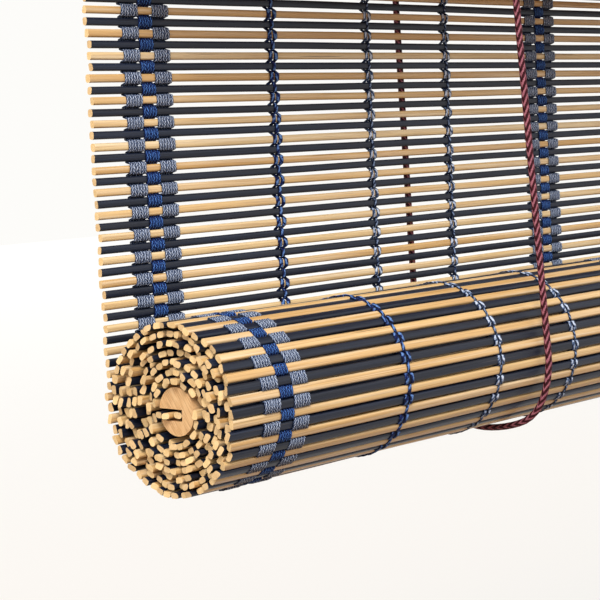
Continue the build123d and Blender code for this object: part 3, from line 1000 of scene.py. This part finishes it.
def make_knot(side):
    """The stopper knot: the cord's end wrapped round itself."""
    low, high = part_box(f"{side}_cord_knot")
    half = knot_cord / 2
    radius = (high.x - low.x) / 2 - half
    line = helix((low + high) / 2, radius, low.z + half, high.z - half, knot_turns)
    line.append(line[-1] + Vector(knot_tail))
    lines = [smooth_line("knot_line", line)]
    knot = rope(f"{side}_stopper_knot", lines, knot_cord, cord_sides, burgundy_cord)
    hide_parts(f"{side}_cord_knot")
    return knot


def tie_wraps(side):
    """Wraps of thin cord round the coil's section at its top."""
    low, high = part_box(f"{side}_cord_coil")
    centre = (low + high) / 2
    half_width = (high.y - low.y) / 2 + tie_cord / 2
    inner = coil_inner_row - cord_diameter / 2 - tie_cord / 2
    outer = coil_inner_row + (coil_rows - 0.5) * cord_diameter + tie_cord / 2
    round_section = [
        (-half_width, inner + tie_corner),
        (-half_width, outer - tie_corner),
        (-half_width + tie_corner, outer),
        (half_width - tie_corner, outer),
        (half_width, outer - tie_corner),
        (half_width, inner + tie_corner),
        (half_width - tie_corner, inner),
        (-half_width + tie_corner, inner),
    ]
    points = []
    count = len(round_section) * tie_turns
    for step in range(count + 1):
        across, radius = round_section[step % len(round_section)]
        angle = tie_half_angle * (2 * step / count - 1)
        points.append(centre + Vector((radius * math.sin(angle), across, radius * math.cos(angle))))
    return points


def make_tie(side, end):
    """The tie of a coil: its wraps, and a whipping each where the cord comes in and goes out."""
    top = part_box(f"{side}_coil_tie")[1].z
    tail_low, tail_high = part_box(f"{side}_cord_tail")
    tail = (tail_low + tail_high) / 2
    around = (cord_diameter + whipping_room) / 2
    entry_top = top - whipping_room / 2
    entry = helix(Vector(end), around, top - whipping_reach, entry_top, whipping_turns)
    exit_low = tail_high.z - tail_whipping_below
    leaving = helix(tail, around, exit_low, tail_high.z + tail_whipping_above, whipping_turns)
    lines = [smooth_line("tie_line", points) for points in (tie_wraps(side), entry, leaving)]
    tie = rope(f"{side}_tie_wraps", lines, tie_cord, tie_sides, burgundy_cord)
    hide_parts(f"{side}_coil_tie")
    return tie


for side, route in (("left", left_route), ("right", right_route)):
    line = smooth_line(f"{side}_cord_line", [Vector(point) for point in route] + coil_points(side))
    cord = rope(f"{side}_cord", [line], cord_diameter, cord_sides, burgundy_cord)
    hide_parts(f"{side}_lift_cord", f"{side}_cord_coil", f"{side}_cord_tail")
    make_knot(side)
    make_tie(side, route[-1])


# Fittings
def dress(names, material):
    """Gives carried-over pieces their material."""
    for name in names:
        mesh = nodes[name].data
        mesh.materials.clear()
        mesh.materials.append(material)


pulleys = ("left", "right", "left_cord_end", "right_cord_end")
dress(["head_board"], board_wood)
dress(["core_rod"], core_wood)
dress(["left_cord_pull", "right_cord_pull"], pull_wood)
dress(["mat_staples", "cord_staples"], wire)
dress([f"{name}_pulley_{part}" for name in pulleys for part in ("bracket", "pin")], zinc)
dress([f"{name}_pulley_wheel" for name in pulleys], nylon)


def make_screw_tree():
    """Puts a pan head screw with a cross recess on each point, its head down and its shank up."""
    inputs = {"Head radius": "Float", "Head height": "Float", "Shank radius": "Float", "Length": "Float"}
    tree, given = new_tree("screws", inputs | {"Metal": "Material"})
    dome = put(
        tree,
        "GeometryNodeMeshUVSphere",
        inputs={"Segments": 24, "Rings": 12, "Radius": given["Head radius"]},
    )
    flat = compute(tree, "DIVIDE", given["Head height"], given["Head radius"])
    pan = shaped(tree, "Transform", dome.outputs[0], {"Scale": combine(tree, 1.0, 1.0, flat)})
    above = put(tree, "GeometryNodeMeshCube", inputs={"Size": (cutter_side,) * 3}).outputs[0]
    above = shaped(tree, "Transform", above, {"Translation": (0, 0, cutter_side / 2)})
    cutters = put(tree, "GeometryNodeJoinGeometry")
    under = combine(tree, z=compute(tree, "MULTIPLY", given["Head height"], -1.0))
    for size in ((recess_length, recess_width, recess_depth), (recess_width, recess_length, recess_depth)):
        bar = put(tree, "GeometryNodeMeshCube", inputs={"Size": size}).outputs[0]
        sunk = shaped(tree, "Transform", bar, {"Translation": under})
        tree.links.new(sunk, cutters.inputs[0])
    tree.links.new(above, cutters.inputs[0])
    cut = put(tree, "GeometryNodeMeshBoolean", {"operation": "DIFFERENCE"})
    tree.links.new(pan, cut.inputs["Mesh 1"])
    tree.links.new(cutters.outputs[0], cut.inputs["Mesh 2"])
    shank = put(
        tree,
        "GeometryNodeMeshCylinder",
        inputs={"Vertices": 20, "Radius": given["Shank radius"], "Depth": given["Length"]},
    )
    lift = combine(tree, z=compute(tree, "MULTIPLY", given["Length"], 0.5))
    whole = put(tree, "GeometryNodeJoinGeometry")
    tree.links.new(cut.outputs[0], whole.inputs[0])
    tree.links.new(shaped(tree, "Transform", shank.outputs[0], {"Translation": lift}), whole.inputs[0])
    instance = {"Instance": whole.outputs[0], "Rotation": combine(tree, z=named(tree, "turn"))}
    placed = shaped(tree, "InstanceOnPoints", given["Geometry"], instance)
    real = shaped(tree, "RealizeInstances", placed)
    return finish_tree(tree, shaped(tree, "SetMaterial", real, {"Material": given["Metal"]}))


screw_places = []
for name in pulleys:
    low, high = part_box(f"{name}_pulley_bracket")
    middle = (low + high) / 2
    for side in (-1, 1):
        screw_places.append((middle.x + side * screw_reach, middle.y, board_low.z - bracket_sheet))
turns = {"turn": [chance.uniform(0, screw_turn_range) for place in screw_places]}
screws = grow(
    "pan_head_screws",
    make_screw_tree(),
    point_mesh("screw_places", screw_places, turns),
    {
        "Head radius": screw_head_radius,
        "Head height": screw_head_height,
        "Shank radius": screw_shank_radius,
        "Length": screw_length,
        "Metal": zinc,
    },
)
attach(screws, "root")
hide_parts("pulley_screws")


# Floor, daylight and lamps
def seen_directly(tree):
    """1 for rays that show a surface in the picture, 0 for those that only light other things."""
    rays = put(tree, "ShaderNodeLightPath").outputs
    seen = compute(tree, "MAXIMUM", rays["Is Camera Ray"], rays["Is Glossy Ray"])
    return compute(tree, "MAXIMUM", seen, rays["Is Transmission Ray"])


def make_floor_paper():
    """Pale paper that takes a shadow, and glows by itself only where it is seen, a little more far away."""
    levels = {
        "Roughness": 0.9,
        "Base Color": colour(112, 82, 50),
        "Emission Color": (0.944, 0.991, 1.0, 1.0),
    }
    material, tree, shader = new_material("floor", levels)
    away = separate(tree, object_place(tree))[1]
    glow = mapped(tree, away, high=4.0, to_low=0.805, to_high=0.95)
    lit = compute(tree, "MULTIPLY", seen_directly(tree), glow)
    tree.links.new(lit, shader.inputs["Emission Strength"])
    return material


floor_corners = [(x * floor_reach, y * floor_reach, floor_z) for x, y in ((-1, -1), (1, -1), (1, 1), (-1, 1))]
floor_mesh = bpy.data.meshes.new("floor")
floor_mesh.from_pydata(floor_corners, [], [(0, 1, 2, 3)])
floor_mesh.materials.append(make_floor_paper())
floor = new_object("floor", floor_mesh)

world = bpy.data.worlds.new("daylight")
world.use_nodes = True
bpy.context.scene.world = world
sky = world.node_tree.nodes["Background"]
sky.inputs["Color"].default_value = colour(253, 252, 249)
strength = compute(world.node_tree, "MAXIMUM", seen_directly(world.node_tree), daylight_strength)
world.node_tree.links.new(strength, sky.inputs["Strength"])


def lamp(name, place, aim, size, power, warmth):
    """A soft square lamp that shines at a point."""
    data = bpy.data.lights.new(name, "AREA")
    data.size = size
    data.energy = power
    data.color = warmth
    light = new_object(name, data)
    light.location = place
    light.rotation_euler = (Vector(aim) - Vector(place)).to_track_quat("-Z", "Y").to_euler()


lamp("window", (-1.3, -1.1, 1.3), (-0.15, 0.0, -0.15), 0.9, 36.0, (1.0, 0.98, 0.95))
lamp("left_side", (-1.8, -0.45, 0.45), (-0.3, 0.0, -0.2), 0.9, 11.0, (1.0, 0.98, 0.95))
lamp("room", (0.8, -1.8, 0.75), (0.0, 0.0, -0.15), 1.4, 9.0, (1.0, 0.99, 0.97))

bpy.context.scene.view_settings.view_transform = "Standard"
